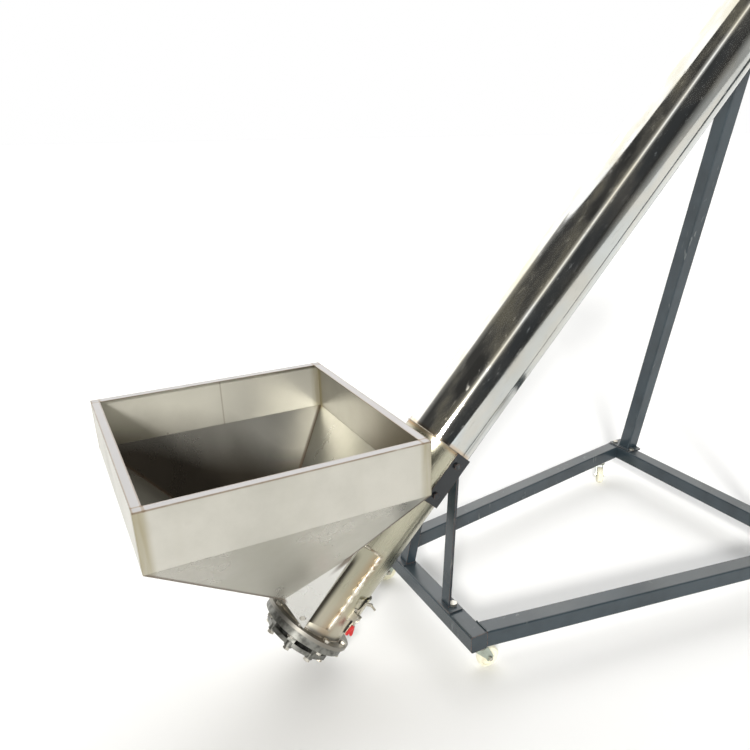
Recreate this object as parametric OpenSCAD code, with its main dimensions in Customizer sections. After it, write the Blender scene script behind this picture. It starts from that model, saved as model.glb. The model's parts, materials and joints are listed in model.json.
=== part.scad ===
// Inclined grain auger: a stainless hopper feeds a screw in a stainless tube, carried by a
// painted, wheeled base that is narrow under the hopper and wide under the discharge.
// Millimetres. +Z is up, +X is along the rise of the tube, +Y is to its left.
// The origin is on the floor, under the middle of the whole machine.

/* [Tube] */
// Angle of the tube above the floor, degrees
incline = 47.2; // [46.5:0.1:48]
// Outer radius of the tube
tube_r = 97; // [95:0.5:99]
// Wall of the tube
tube_wall = 3; // [2.5:0.5:3.5]
// Distance along the axis, from the floor, to the lower tube flange
flange_s = 190; // [186:1:194]
// Distance along the axis to the weld between lower and upper tube
seam_s = 786; // [780:1:792]
// Distance along the axis to the upper tube flange
top_s = 2800; // [2790:5:2830]

/* [Screw] */
// Outer radius of the flight
flight_r = 88; // [84:0.5:90]
// Pitch of the flight
pitch = 180; // [150:5:200]
// Radius of the hollow screw shaft
core_r = 25; // [22:1:28]
// Radius of the stub shafts at both ends
stub_r = 20; // [18:0.5:22]
// Radial running clearance of a shaft in a bearing
run_gap = 0.05; // [0.02:0.01:0.1]

/* [Hopper] */
// Length of the hopper rim along X
hop_x = 600; // [590:5:610]
// Width of the hopper rim along Y
hop_y = 636; // [620:2:650]
// Height of the rim above the floor
rim_z = 743; // [740:1:748]
// Height of the upright skirt
skirt_h = 128; // [120:1:136]
// Width of the inward lip around the rim
lip_w = 20; // [15:1:30]
// Sheet thickness of the hopper
sheet = 2; // [1.5:0.5:3]

/* [Base frame] */
// Side of the square frame tube
bar = 50; // [48:1:50]
// Wall of the square frame tube
bar_wall = 3; // [2:0.5:4]
// Top of the frame above the floor
frame_z = 135; // [135:1:136]
// Near face of the front crossbar, from the hopper's end
front_x = 746; // [740:1:750]
// Half width of the front crossbar
front_y = 272; // [268:1:276]
// Near face of the rear crossbar
rear_x = 1912; // [1900:1:1920]
// Half width of the rear crossbar
rear_y = 463; // [455:1:470]
// Distance of a rear post's centre from the middle, at its foot
post_y = 391; // [385:1:395]

/* [Casters] */
// Radius of a caster wheel
wheel_r = 31.5; // [31:0.5:32]
// Width of a caster wheel
wheel_w = 24; // [22:1:24]
// Trail from the swivel axis to the axle
trail = 28; // [26:1:30]

/* [Drive] */
// Gear module
gear_m = 1.5; // [1.5:0.5:1.5]
// Teeth on the motor pinion
pinion_teeth = 17; // [17:1:17]
// Teeth on the output wheel
wheel_teeth = 68; // [68:1:68]

/* [Hidden] */
eps = 0.01;
paint = "#3b4347";
steel = "#c9c6b8";
zinc = "#a9adab";
nylon = "#efe6bd";

axis_x = 273.7;                     // where the tube axis meets the floor
ca = cos(incline);
sa = sin(incline);
flange_t = 10;
flange_r = 124;
skirt_z = rim_z - skirt_h;
frame_mid_z = frame_z - bar / 2;
rail_turn = atan((rear_y - front_y) / (rear_x - front_x - bar));
post_lean = 11.3;                   // inward lean of a rear post, degrees
post_x = rear_x + 36;               // centre of a post along X
head_z = 1600;                      // underside of the post crosshead
spout_x = 2081;                     // middle of the discharge spout
spout_z = 1600;                     // its lower face
spout_l = 140;
spout_w = 180;
gear_gap = gear_m * (pinion_teeth + wheel_teeth) / 2;
box_s = 2905;                       // lower face of the gearbox
box_t = 90;
motor_s = box_s + box_t;
motor_l = 200;
motor_r = 72;
cowl_l = 60;
end_s = motor_s + motor_l + cowl_l; // highest point along the axis
// The middle of the machine: the hopper's end is at x = 0 and the cowl's rim is the other end.
reach_x = axis_x + end_s * ca + (motor_r + 2 - gear_gap) * sa;
mid_x = reach_x / 2;

// Caster swivel axes [x, y], the direction in which each wheel trails at rest, the plate's turn
swivels = [
  [789, -244, 0, 0], [789, 244, 180, 0],
  [1843, 433, 235, rail_turn], [1843, -433, 20, -rail_turn]
];

// ---------- placing ----------
module machine() translate([-mid_x, 0, 0]) children();

// Local +Z runs up the tube axis, local -X is the tube's upper side, Y stays Y.
module along(s, up = 0, y = 0)
  machine() translate([axis_x, 0, 0]) rotate([0, 90 - incline, 0]) translate([-up, y, s]) children();

module mirror_y() { children(); mirror([0, 1, 0]) children(); }

// ---------- shared shapes ----------
module tube(r, wall, l) difference() {
  cylinder(r = r, h = l, $fn = 96);
  translate([0, 0, -1]) cylinder(r = r - wall, h = l + 2, $fn = 96);
}

module soft_square(w, r) {
  square([w, w - 2 * r], center = true);
  square([w - 2 * r, w], center = true);
  for (x = [-1, 1], y = [-1, 1]) translate([x * (w / 2 - r), y * (w / 2 - r)]) circle(r = r, $fn = 32);
}

// Square tube standing on Z = 0
module bar_tube(l, w = bar) linear_extrude(l) difference() {
  soft_square(w, 5);
  soft_square(w - 2 * bar_wall, 2);
}

module hex_head(d, h) cylinder(r = d / 2, h = h, $fn = 6);

// Bolt standing on a face at Z = 0: head above, shank below
module bolt(d, shank, head = 0) {
  h = head == 0 ? 0.65 * d : head;
  hex_head(1.9 * d, h);
  translate([0, 0, -shank]) cylinder(r = d / 2, h = shank + eps, $fn = 24);
}

// ---------- base frame ----------
module crossbar(x, half) machine() color(paint)
  translate([x + bar / 2, half - 2, frame_mid_z]) rotate([90, 0, 0]) bar_tube(2 * half - 4);

strut_bolt = [front_x + 29, 136];
post_bolts = [for (y = [-37, 52]) [rear_x + 20, post_y + y]];
// Clearance for upright frame bolts of radius r, on both sides
module bolt_holes(list, r) machine() mirror_y() for (p = list)
  translate([p[0], p[1], frame_mid_z]) cylinder(r = r, h = bar, $fn = 32);
module front_crossbar() difference() {
  crossbar(front_x, front_y);
  bolt_holes([strut_bolt], 6.2);
}
module rear_crossbar() difference() {
  crossbar(rear_x, rear_y);
  bolt_holes(post_bolts, 5.2);
}

// A side rail butts against both crossbars, so its ends are cut square to X.
module side_rail() machine() color(paint) intersection() {
  translate([front_x + bar, front_y, 0]) rotate([0, 0, rail_turn])
    translate([-60, -bar / 2, frame_mid_z]) rotate([0, 90, 0])
      bar_tube(1400);
  translate([front_x + bar, 0, 0]) cube([rear_x - front_x - bar, 600, 200]);
}
module side_rail_left() side_rail();
module side_rail_right() mirror([0, 1, 0]) side_rail();

module end_plug(x, half) machine() translate([x + bar / 2, half - 2, frame_mid_z])
  rotate([-90, 0, 0]) linear_extrude(2) soft_square(bar, 5);
module tube_end_plugs() color(paint) mirror_y() {
  end_plug(front_x, front_y);
  end_plug(rear_x, rear_y);
}

// ---------- front supports ----------
strut_foot = [front_x + 12, 102];   // inner corner of a strut's foot
strut_w = 38;
strut_d = 30;
strut_t = 4;
strut_rise = 375;
foot_t = 5;
module angle_iron(l) linear_extrude(l) {
  square([strut_t, strut_w]);
  square([strut_d, strut_t]);
}
// The strut leans towards the tube and up its slope; the foot plate and the tube trim its ends.
module front_strut() difference() {
  machine() color(paint) translate([strut_foot[0], strut_foot[1], frame_z + foot_t])
    rotate([atan(42 / 360), atan(48 / 360), 0]) translate([0, 0, -20]) angle_iron(strut_rise + 60);
  machine() translate([front_x - 100, -1, frame_z - 100]) cube([300, 300, 100 + foot_t]);
  along(400) cylinder(r = tube_r, h = 700, $fn = 96);
  along(500, up = -48) translate([-200, 60, 0]) cube([200, 100, 400]);
}
module front_strut_left() front_strut();
module front_strut_right() mirror([0, 1, 0]) front_strut();

module strut_foot_plates() color(paint) difference() {
  machine() mirror_y() translate([front_x + 1, 99, frame_z]) cube([42, 63, foot_t]);
  bolt_holes([strut_bolt], 6.2);
}

cradle_s = 637;
cradle_l = 150;
strip_t = 5;
module cradle_holes() for (z = [27, 120]) along(cradle_s + z, up = -19)
  rotate([90, 0, 0]) cylinder(r = 5.2, h = 3 * tube_r, center = true, $fn = 32);
module cradle_strips() color(paint) difference() {
  mirror_y() along(cradle_s) translate([-2, tube_r, 0]) cube([50, strip_t, cradle_l]);
  cradle_holes();
}
module cradle_bolts() color(zinc) mirror_y()
  for (z = [27, 120]) along(cradle_s + z, up = -19) translate([0, tube_r + strip_t, 0])
    rotate([-90, 0, 0]) bolt(10, strip_t + 6);

// ---------- rear supports ----------
module rear_post() difference() {
  machine() color(paint) translate([post_x, post_y, frame_z + foot_t]) rotate([post_lean, 0, 0])
    translate([0, 0, -30]) bar_tube(head_z + 100 - frame_z);
  machine() translate([post_x - 100, 0, 0]) cube([200, 600, frame_z + foot_t]);
  machine() translate([post_x - 100, 0, head_z]) cube([200, 600, 300]);
}
module rear_post_left() rear_post();
module rear_post_right() mirror([0, 1, 0]) rear_post();

module post_foot_plates() color(paint) difference() {
  machine() mirror_y() translate([rear_x + 2, post_y - 46, frame_z]) linear_extrude(foot_t) {
    translate([8, 0]) square([47, 115]);
    translate([0, 8]) square([63, 99]);
    for (x = [8, 55], y = [8, 107]) translate([x, y]) circle(r = 8, $fn = 32);
  }
  bolt_holes(post_bolts, 5.2);
}

// The tube rests in a notch in the crosshead.
module post_crosshead() color(paint) difference() {
  machine() translate([post_x, 140, head_z + bar / 2]) rotate([90, 0, 0]) bar_tube(280);
  along(2000) cylinder(r = tube_r, h = 700, $fn = 96);
}

saddle_s = 2345;
strap_w = 40;
ear_y = 34;
module rear_saddle() color(paint) {
  difference() {
    machine() translate([post_x - 6, -110, head_z + bar]) cube([12, 220, 95]);
    along(2000) cylinder(r = tube_r, h = 700, $fn = 96);
    along(saddle_s - 40, up = 130) translate([-100, -200, 0]) cube([230, 400, 250]);
  }
  mirror_y() difference() {
    along(saddle_s) translate([0, tube_r - 6, 0]) cube([8, ear_y + 6, strap_w]);
    along(2000) cylinder(r = tube_r, h = 700, $fn = 96);
    along(saddle_s + strap_w / 2) translate([-1, tube_r + 20, 0]) rotate([0, 90, 0])
      cylinder(r = 5.5, h = 20, $fn = 32);
  }
}
strap_t = 4;
module saddle_strap() color(paint) {
  along(saddle_s) difference() {
    cylinder(r = tube_r + strap_t, h = strap_w, $fn = 96);
    translate([0, 0, -1]) cylinder(r = tube_r, h = strap_w + 2, $fn = 96);
    translate([0, -200, -1]) cube([200, 400, strap_w + 2]);
  }
  mirror_y() along(saddle_s) difference() {
    translate([-strap_t, tube_r + strap_t - 2, 0]) cube([strap_t, ear_y - strap_t + 2, strap_w]);
    translate([-10, tube_r + 20, strap_w / 2]) rotate([0, 90, 0]) cylinder(r = 5.5, h = 20, $fn = 32);
  }
}

module frame_bolts() color(zinc) {
  machine() mirror_y() {
    translate([strut_bolt[0], strut_bolt[1], frame_z + foot_t]) bolt(12, foot_t + 8);
    for (p = post_bolts) translate([p[0], p[1], frame_z + foot_t]) bolt(10, foot_t + 8);
  }
  mirror_y() along(saddle_s + strap_w / 2, up = strap_t) translate([0, tube_r + 20, 0])
    rotate([0, -90, 0]) bolt(10, strap_t + 16);
}

// ---------- hopper ----------
// The cone's mouth is a trapezoid: low and narrow at its lower end, high and wide at its upper end.
mouth_low = [311, 105, 309];
mouth_high = [461, 194, 437];
collar_low_s = 207;
collar_high_s = 480;
collar_up = 80;

module skirt_block(inset, z0, z1) translate([inset, -hop_y / 2 + inset, z0])
  cube([hop_x - 2 * inset, hop_y - 2 * inset, z1 - z0]);

module hopper_skirt() machine() color(steel) difference() {
  skirt_block(0, skirt_z, rim_z);
  skirt_block(sheet, skirt_z - 1, rim_z - sheet);
  skirt_block(lip_w, rim_z - sheet - 1, rim_z + 1);
}

// Corner points of the mouth and of the collar's lower edge, both sides, pulled in by t
function mouth(t) = [for (p = [[mouth_low, t], [mouth_high, -t]], s = [-1, 1])
  [p[0][0] + p[1], s * (p[0][1] - t), p[0][2]]];
function on_axis(s, up, y) = [axis_x + s * ca - up * sa, y, s * sa + up * ca];
function collar(t, up) = [for (p = [collar_low_s + t, collar_high_s - t], s = [-1, 1])
  on_axis(p, up, s * (mouth_low[1] - t))];
module points(list) for (p = list) translate(p) cube(eps);

module hopper_cone() machine() color(steel) difference() {
  union() {
    hull() { skirt_block(0, skirt_z - eps, skirt_z); points(mouth(0)); }
    hull() { points(mouth(0)); points(collar(0, collar_up)); }
  }
  hull() { skirt_block(sheet, skirt_z - eps, skirt_z + 1); points(mouth(sheet)); }
  hull() { points([for (p = mouth(sheet)) p + [-1, 0, 2]]); points(collar(sheet, collar_up - 3)); }
  translate([axis_x, 0, 0]) rotate([0, 90 - incline, 0]) cylinder(r = tube_r + 0.3, h = 700, $fn = 96);
  translate([hop_bolt[0], -150, hop_bolt[2]]) rotate([-90, 0, 0]) cylinder(r = 4.2, h = 300, $fn = 32);
  mirror_y() translate(hop_bolt) rotate([-90, 0, 0]) cylinder(r = 7.7, h = 8, $fn = 32);
}

// The hopper hangs on the inlet box by one bolt a side, its head in a flat pressed into the sheet.
hop_bolt = [355, 106, 243];
module hopper_bolts() color(zinc) machine() mirror_y()
  translate(hop_bolt) rotate([-90, 0, 0]) bolt(8, hop_bolt[1] - tube_r);

// ---------- inlet box and tubes ----------
box_in_s = 226;
box_out_s = 456;
box_up = 112;
cut_w = 76;
module inlet_cut() along(box_in_s + 8) translate([-box_up - 60, -cut_w, 0])
  cube([box_up + 60 - 40, 2 * cut_w, box_out_s - box_in_s - 16]);

module inlet_box() color(steel) difference() {
  along(box_in_s) difference() {
    translate([-box_up, -tube_r, 0]) cube([box_up - 12, 2 * tube_r, box_out_s - box_in_s]);
    translate([-box_up - 1, -tube_r + 3, 3]) cube([box_up, 2 * tube_r - 6, box_out_s - box_in_s - 6]);
  }
  along(100) cylinder(r = tube_r, h = 600, $fn = 96);
}

door_s = 228;
door_l = 110;
door_half = 56;
module wedge_down(half, l, r = 200) linear_extrude(l)
  polygon([[0, 0], [r * cos(half), -r * sin(half)], [r, -r * sin(half)],
           [r, r * sin(half)], [r * cos(half), r * sin(half)]]);

module end_flange(s, r = flange_r) along(s) difference() {
  cylinder(r = r, h = flange_t, $fn = 96);
  translate([0, 0, -1]) cylinder(r = tube_r - tube_wall, h = flange_t + 2, $fn = 96);
  for (a = [0:45:315]) rotate([0, 0, a]) translate([110, 0, -1]) cylinder(r = 5.2, h = flange_t + 2, $fn = 32);
}

module lower_tube() color(steel) difference() {
  union() {
    end_flange(flange_s);
    along(flange_s + flange_t) tube(tube_r, tube_wall, seam_s - flange_s - flange_t);
  }
  inlet_cut();
  along(door_s + 10) wedge_down(door_half - 8, door_l - 20);
  cradle_holes();
}

spout_cut_w = 78;
module upper_tube() color(steel) difference() {
  union() {
    along(seam_s) tube(tube_r, tube_wall, top_s - seam_s);
    end_flange(top_s);
  }
  machine() translate([spout_x - spout_l / 2 + 3, -spout_cut_w, 1500])
    cube([spout_l - 6, 2 * spout_cut_w, 430]);
}

module spout_section(grow, l, w) square([l + 2 * grow, w + 2 * grow], center = true);
module discharge_spout() color(steel) difference() {
  machine() translate([spout_x, 0, spout_z]) {
    linear_extrude(340) spout_section(0, spout_l, spout_w);
    linear_extrude(6) spout_section(35, spout_l, spout_w);
  }
  machine() translate([spout_x, 0, spout_z - 1]) linear_extrude(400) spout_section(-3, spout_l, spout_w);
  along(2000) cylinder(r = tube_r, h = 1000, $fn = 96);
  along(2000, up = 300) translate([0, -300, 0]) cube([300, 600, 1000]);
  machine() for (x = [-1, 1], y = [-1, 1])
    translate([spout_x + x * (spout_l / 2 + 20), y * (spout_w / 2 + 20), spout_z - 1])
      cylinder(r = 5.5, h = 8, $fn = 32);
}

// ---------- clean-out door ----------
door_gap = 0.4;
module door_shell(r, t, half, s, l) along(s) intersection() {
  tube(r + t, t, l);
  wedge_down(half, l);
}
hinge_turn = 63;                    // of the hinge, from the underside towards +Y
hinge_r = 113;
hinge_x = hinge_r * cos(hinge_turn);
hinge_y = hinge_r * sin(hinge_turn);
module hinge_line(s) along(s, up = -hinge_x, y = hinge_y) children();
module knuckle(l) difference() {
  cylinder(r = 6, h = l, $fn = 32);
  translate([0, 0, -1]) cylinder(r = 3.05, h = l + 2, $fn = 32);
}
// A hinge leaf reaches from its knuckle in the direction turn.
module leaf(turn, reach, l) rotate([0, 0, turn]) translate([4.5, -1.5, 0]) cube([reach, 3, l]);
module cleanout_door() color(steel) {
  door_shell(tube_r + 4, 3, door_half, door_s, door_l);
  for (s = [20, 70]) {
    hinge_line(door_s + s) knuckle(20);
    hinge_line(door_s + s) leaf(-64, 15, 20);
  }
}
module door_gasket() color("#141414") difference() {
  door_shell(tube_r + door_gap, 3.6, door_half - 1, door_s + 2, door_l - 4);
  along(door_s + 8) wedge_down(door_half - 7, door_l - 16);
}
module door_hinge() color(zinc) difference() {
  for (s = [0.4, 40.4, 90.4]) hinge_line(door_s + s) {
    knuckle(19.2);
    leaf(195, 26, 19.2);
  }
  along(door_s - 5) cylinder(r = tube_r, h = door_l + 10, $fn = 96);
}
module hinge_pin() color(zinc) hinge_line(door_s - 3) {
  cylinder(r = 3, h = 116, $fn = 32);
  cylinder(r = 5, h = 2.6, $fn = 32);
}

// Toggle clamp on the tube beside the door's free edge, at rest lifted just clear of the door.
clamp_turn = -68;                   // from the underside towards -Y
clamp_s = 286;
clamp_lift = 8;                     // arm and handle above their locked position, degrees
arm_x = 9;                          // pivots above the tube
handle_x = 17;
pin_r = 2.5;
module clamp_frame() along(clamp_s) rotate([0, 0, clamp_turn]) translate([tube_r, 0, 0]) children();
// A round bar across the clamp, from y to y + l
module cross_pin(x, z, y, l, r) translate([x, y, z]) rotate([-90, 0, 0]) cylinder(r = r, h = l, $fn = 32);
module clamp_base() color(zinc) clamp_frame() difference() {
  union() {
    translate([-0.6, -10, -16]) cube([3.6, 20, 34]);
    for (y = [-9, 6]) translate([3, y, -10]) cube([20, 3, 20]);
    cross_pin(arm_x, 0, -9, 18, pin_r);
    cross_pin(handle_x, 0, 0, 9, pin_r);
  }
  translate([-tube_r, 0, -20]) cylinder(r = tube_r, h = 50, $fn = 96);
}
module clamp_arm() color(zinc) clamp_frame() translate([arm_x, 0, 0]) rotate([0, clamp_lift, 0]) difference() {
  union() {
    cross_pin(0, 0, -4, 3, 5);
    translate([-2, -4, 0]) cube([4, 3, 45]);
    translate([-2, -4, 41]) cube([4, 34, 8]);
    translate([-4, 26, 45]) rotate([0, 90, 0]) cylinder(r = 4, h = 6, $fn = 24);
    translate([0, 26, 45]) rotate([0, 90, 0]) cylinder(r = 3, h = 18, $fn = 24);
  }
  cross_pin(0, 0, -20, 40, pin_r + run_gap);
}
handle_l = 20;
module clamp_handle() color(zinc) clamp_frame() translate([handle_x, 0, 0]) rotate([0, -clamp_lift, 0])
  difference() {
    union() {
      cross_pin(0, 0, 0.5, 4, 5);
      translate([-2, 0.5, -handle_l]) cube([4, 4, handle_l]);
    }
    cross_pin(0, 0, -20, 40, pin_r + run_gap);
  }
grip_l = 26;
module clamp_grip() color("#d23a3a") clamp_frame() translate([handle_x, 2.5, 0]) rotate([0, -clamp_lift, 0])
  difference() {
    for (turn = [-24, 24]) translate([0, 0, -handle_l]) rotate([turn, 0, 0]) translate([0, 0, -grip_l]) {
      cylinder(r = 4.5, h = grip_l + 2, $fn = 32);
      sphere(r = 4.5, $fn = 32);
    }
    translate([-10, -10, -handle_l]) cube([20, 20, 20]);
  }

// ---------- lower bearing ----------
bracket_top = flange_s;
module bearing_bracket() color(zinc) along(0) difference() {
  union() {
    translate([0, 0, bracket_top - 20]) cylinder(r = 118, h = 20, $fn = 96);
    translate([0, 0, bracket_top - 52]) cylinder(r = 92, h = 12, $fn = 96);
    translate([0, 0, bracket_top - 66]) cylinder(r = 48, h = 15, $fn = 64);
    for (a = [0:45:315]) rotate([0, 0, a + 3]) {
      translate([74, -11, bracket_top - 41]) cube([20, 22, 22]);
      translate([83, 0, bracket_top - 56]) cylinder(r = 12, h = 16, $fn = 32);
    }
  }
  translate([0, 0, bracket_top - 70]) cylinder(r = 40, h = 24, $fn = 64);
  translate([0, 0, bracket_top - 70]) cylinder(r = 24, h = 100, $fn = 64);
  translate([0, 0, bracket_top - 18]) cylinder(r = 38, h = 20, $fn = 64);
  for (a = [0:45:315]) rotate([0, 0, a]) translate([110, 0, bracket_top - 25]) cylinder(r = 5.2, h = 30, $fn = 32);
}
module ring_bearing(s, h = 18) along(s) {
  difference() {
    cylinder(r = 40, h = h, $fn = 64);
    translate([0, 0, -1]) cylinder(r = stub_r + run_gap, h = h + 2, $fn = 64);
    for (z = [-1, h - 3]) translate([0, 0, z]) tube(35, 8, 4);
  }
}
module lower_bearing() color(zinc) ring_bearing(bracket_top - 64);
module lower_seal() color("#1c1c1c") along(bracket_top - 18) difference() {
  cylinder(r = 38, h = 16, $fn = 64);
  translate([0, 0, -1]) cylinder(r = stub_r + run_gap, h = 18, $fn = 64);
}
nut_h = 7;
module flange_bolts() color(zinc) for (a = [0:45:315]) along(0) rotate([0, 0, a]) {
  translate([110, 0, bracket_top - 20]) rotate([180, 0, 0]) bolt(10, 20 + flange_t + 2);
  translate([110, 0, flange_s + flange_t]) hex_head(19, nut_h);
  rotate([0, 0, 3]) translate([83, 0, bracket_top - 56]) rotate([180, 0, 0]) bolt(10, 0, 9);
  translate([110, 0, top_s + flange_t + 12]) bolt(10, flange_t + 14);
  translate([110, 0, top_s - nut_h]) hex_head(19, nut_h);
}

// ---------- screw ----------
flight_low = 212;
flight_high = 2720;
module screw_core() color("#b7b8b4") {
  along(flight_low - 6) tube(core_r, core_r - stub_r, flight_high - flight_low + 12);
  along(bracket_top - 72) cylinder(r = stub_r, h = 160, $fn = 64);
  along(flight_high - 60) cylinder(r = stub_r, h = box_s + 60 - flight_high + 60, $fn = 64);
}
// Right-hand flight as a twisted blade; its angular width gives a sheet about 4 mm thick.
// Its inner edge is a row of chords, so it starts where their middles just clear the shaft.
turn_slices = 24;
module screw_flight() color("#b7b8b4") along(flight_low) {
  turns = (flight_high - flight_low) / pitch;
  blade = 4 / pitch * 360;
  inner = (core_r + 0.01) / cos(blade / 2 + 180 / turn_slices);
  linear_extrude(flight_high - flight_low, twist = -360 * turns, slices = ceil(turn_slices * turns), segments = 4)
    polygon([for (p = [[inner, 0], [flight_r, 0], [flight_r, blade], [inner, blade]])
      p[0] * [cos(p[1]), sin(p[1])]]);
}

// ---------- drive ----------
module upper_lantern() color(paint) along(top_s + flange_t) difference() {
  union() {
    cylinder(r = 120, h = 12, $fn = 96);
    translate([0, 0, box_s - top_s - flange_t - 12]) cylinder(r = 90, h = 12, $fn = 96);
    for (a = [45:90:315]) rotate([0, 0, a]) translate([66, -16, 11]) cube([14, 32, box_s - top_s - flange_t - 22]);
    translate([0, 0, 11]) cylinder(r = 46, h = 16, $fn = 64);
  }
  translate([0, 0, 8]) cylinder(r = 40, h = 20, $fn = 64);
  translate([0, 0, -1]) cylinder(r = 24, h = 200, $fn = 64);
  for (a = [0:45:315]) rotate([0, 0, a]) translate([110, 0, -1]) cylinder(r = 5.2, h = 14, $fn = 32);
}
module upper_bearing() color(zinc) ring_bearing(top_s + flange_t + 8, 17);

case_wall = 7;
module case_outline(grow) {
  circle(r = 66 + grow, $fn = 96);
  translate([-gear_gap, 0]) circle(r = 52 + grow, $fn = 96);
  translate([-gear_gap, -52 - grow]) square([gear_gap, 104 + 2 * grow]);
}
module gearbox_case() color(paint) along(box_s) difference() {
  linear_extrude(box_t) case_outline(0);
  translate([0, 0, case_wall]) linear_extrude(box_t - 2 * case_wall) case_outline(-case_wall);
  translate([0, 0, -1]) cylinder(r = stub_r + run_gap, h = case_wall + 2, $fn = 64);
  translate([-gear_gap, 0, box_t - case_wall - 1]) cylinder(r = 9 + run_gap, h = case_wall + 2, $fn = 64);
}

// Straight-flanked gear outline; narrow teeth leave backlash
function gear_points(n) = [for (i = [0:n - 1], k = [0:3])
  let (p = 360 / n, a = (i + [-0.28, -0.11, 0.11, 0.28][k]) * p,
       r = gear_m * (n / 2 + (k == 0 || k == 3 ? -1.25 : 0.95)))
  [r * cos(a), r * sin(a)]];
gear_w = 24;
module output_gear() color(steel) along(box_s + 22) difference() {
  rotate([0, 0, 180]) linear_extrude(gear_w) polygon(gear_points(wheel_teeth));
  translate([0, 0, -1]) cylinder(r = stub_r, h = gear_w + 2, $fn = 64);
}
module motor_rotor() color(steel) along(0, up = gear_gap) {
  translate([0, 0, box_s + 24]) rotate([0, 0, 180 / pinion_teeth]) linear_extrude(gear_w - 4)
    polygon(gear_points(pinion_teeth));
  translate([0, 0, box_s + 24 + gear_w - 4 - eps]) cylinder(r = 9, h = end_s - 26 - box_s - 24 - gear_w, $fn = 48);
  translate([0, 0, motor_s + 45]) cylinder(r = 38, h = 100, $fn = 64);
}
module motor_fan() color("#2a2a2a") along(motor_s + motor_l + 8, up = gear_gap) difference() {
  union() {
    cylinder(r = 22, h = 20, $fn = 48);
    cylinder(r = 56, h = 3, $fn = 64);
    for (a = [0:45:315]) rotate([0, 0, a]) translate([20, -1.5, 2]) cube([36, 3, 18]);
  }
  translate([0, 0, -1]) cylinder(r = 9, h = 30, $fn = 48);
}
shield_t = 14;                      // end shields of the motor
fin_r = motor_r - 2;
module motor_case() color(paint) along(motor_s, up = gear_gap) difference() {
  union() {
    cylinder(r = 60, h = motor_l, $fn = 96);
    for (z = [0, motor_l - shield_t]) translate([0, 0, z]) cylinder(r = motor_r, h = shield_t, $fn = 96);
    for (a = [0:15:345]) rotate([0, 0, a]) translate([56, -1.5, shield_t - eps])
      cube([fin_r - 56, 3, motor_l - 2 * shield_t + 2 * eps]);
  }
  translate([0, 0, shield_t]) cylinder(r = 52, h = motor_l - 2 * shield_t, $fn = 96);
  translate([0, 0, -1]) cylinder(r = 9 + run_gap, h = motor_l + 2, $fn = 64);
}
// The cowl slips over the motor's rear shield.
cowl_t = 2;
module fan_cowl() color(paint) along(motor_s + motor_l - shield_t, up = gear_gap) difference() {
  cylinder(r = motor_r + cowl_t, h = cowl_l + shield_t, $fn = 96);
  translate([0, 0, -1]) cylinder(r = motor_r, h = cowl_l + shield_t - cowl_t + 1, $fn = 96);
  for (r = [14:11:58], a = [0:30:330]) rotate([0, 0, a]) translate([r, 0, cowl_l + shield_t - cowl_t - 1])
    cylinder(r = 2.2, h = cowl_t + 2, $fn = 13);
}
module terminal_box() color(paint) along(motor_s + 60, up = gear_gap + fin_r) difference() {
  union() {
    translate([-42, -45, 0]) cube([42, 90, 90]);
    translate([-22, -45, 30]) rotate([90, 0, 0]) cylinder(r = 12, h = 18, $fn = 48);
  }
  translate([-22, -62, 30]) rotate([90, 0, 0]) cylinder(r = 6, h = 60, center = true, $fn = 48);
}

// ---------- casters ----------
plate_t = 3;
caster_top = frame_z - bar;
raceway_z = caster_top - plate_t - 8;
fork_gap = 0.4;
module at_swivel(i) machine() translate([swivels[i][0], swivels[i][1], 0])
  rotate([0, 0, swivels[i][2]]) children();

module caster_plates() color(zinc) for (i = [0:3]) machine()
  translate([swivels[i][0], swivels[i][1], 0]) rotate([0, 0, swivels[i][3]]) {
    translate([-30, -24, caster_top - plate_t]) cube([60, 48, plate_t]);
    for (x = [-23, 23], y = [-17, 17]) translate([x, y, caster_top - plate_t - 3]) hex_head(11, 3 + eps);
    translate([0, 0, raceway_z]) cylinder(r = 20, h = 8, $fn = 48);
    translate([0, 0, raceway_z - 10]) cylinder(r = 5, h = 11, $fn = 32);
  }

fork_t = 2.5;
fork_in = wheel_w / 2 + 1.2;
module fork_side() difference() {
  translate([0, fork_t, 0]) rotate([90, 0, 0]) linear_extrude(fork_t) polygon([
    [-20, raceway_z - 3 - fork_gap], [20, raceway_z - 3 - fork_gap],
    [trail + 10, wheel_r + 4], [trail + 8, wheel_r - 7], [trail - 8, wheel_r - 7], [trail - 13, wheel_r + 3]]);
  translate([trail, -1, wheel_r]) rotate([-90, 0, 0]) cylinder(r = 4, h = 6, $fn = 32);
}
module caster_fork(i) color(zinc) at_swivel(i) {
  difference() {
    translate([0, 0, raceway_z - 3 - fork_gap]) cylinder(r = 21, h = 3, $fn = 48);
    translate([0, 0, raceway_z - 5]) cylinder(r = 5.05, h = 8, $fn = 32);
  }
  translate([0, fork_in, 0]) fork_side();
  translate([0, -fork_in - fork_t, 0]) fork_side();
}
module caster_wheel(i) color(nylon) at_swivel(i)
  translate([trail, 0, wheel_r]) rotate([90, 0, 0]) rotate_extrude($fn = 96) {
    w = wheel_w / 2;
    polygon([[4.05, -w], [11, -w], [11, -w + 4], [23, -w + 4], [24, -w + 1], [28, -w + 1], [wheel_r - 1, -w + 4],
             [wheel_r, 0], [wheel_r - 1, w - 4], [28, w - 1], [24, w - 1], [23, w - 4], [11, w - 4],
             [11, w], [4.05, w]]);
  }
module caster_axle(i) color(zinc) at_swivel(i) translate([trail, 0, wheel_r]) rotate([90, 0, 0]) {
  translate([0, 0, -fork_in - fork_t]) cylinder(r = 4, h = 2 * (fork_in + fork_t), $fn = 32);
  for (z = [fork_in + fork_t, -fork_in - fork_t - 5]) translate([0, 0, z]) hex_head(13, 5);
}
module caster_fork_1() caster_fork(0);
module caster_fork_2() caster_fork(1);
module caster_fork_3() caster_fork(2);
module caster_fork_4() caster_fork(3);
module caster_wheel_1() caster_wheel(0);
module caster_wheel_2() caster_wheel(1);
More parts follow.
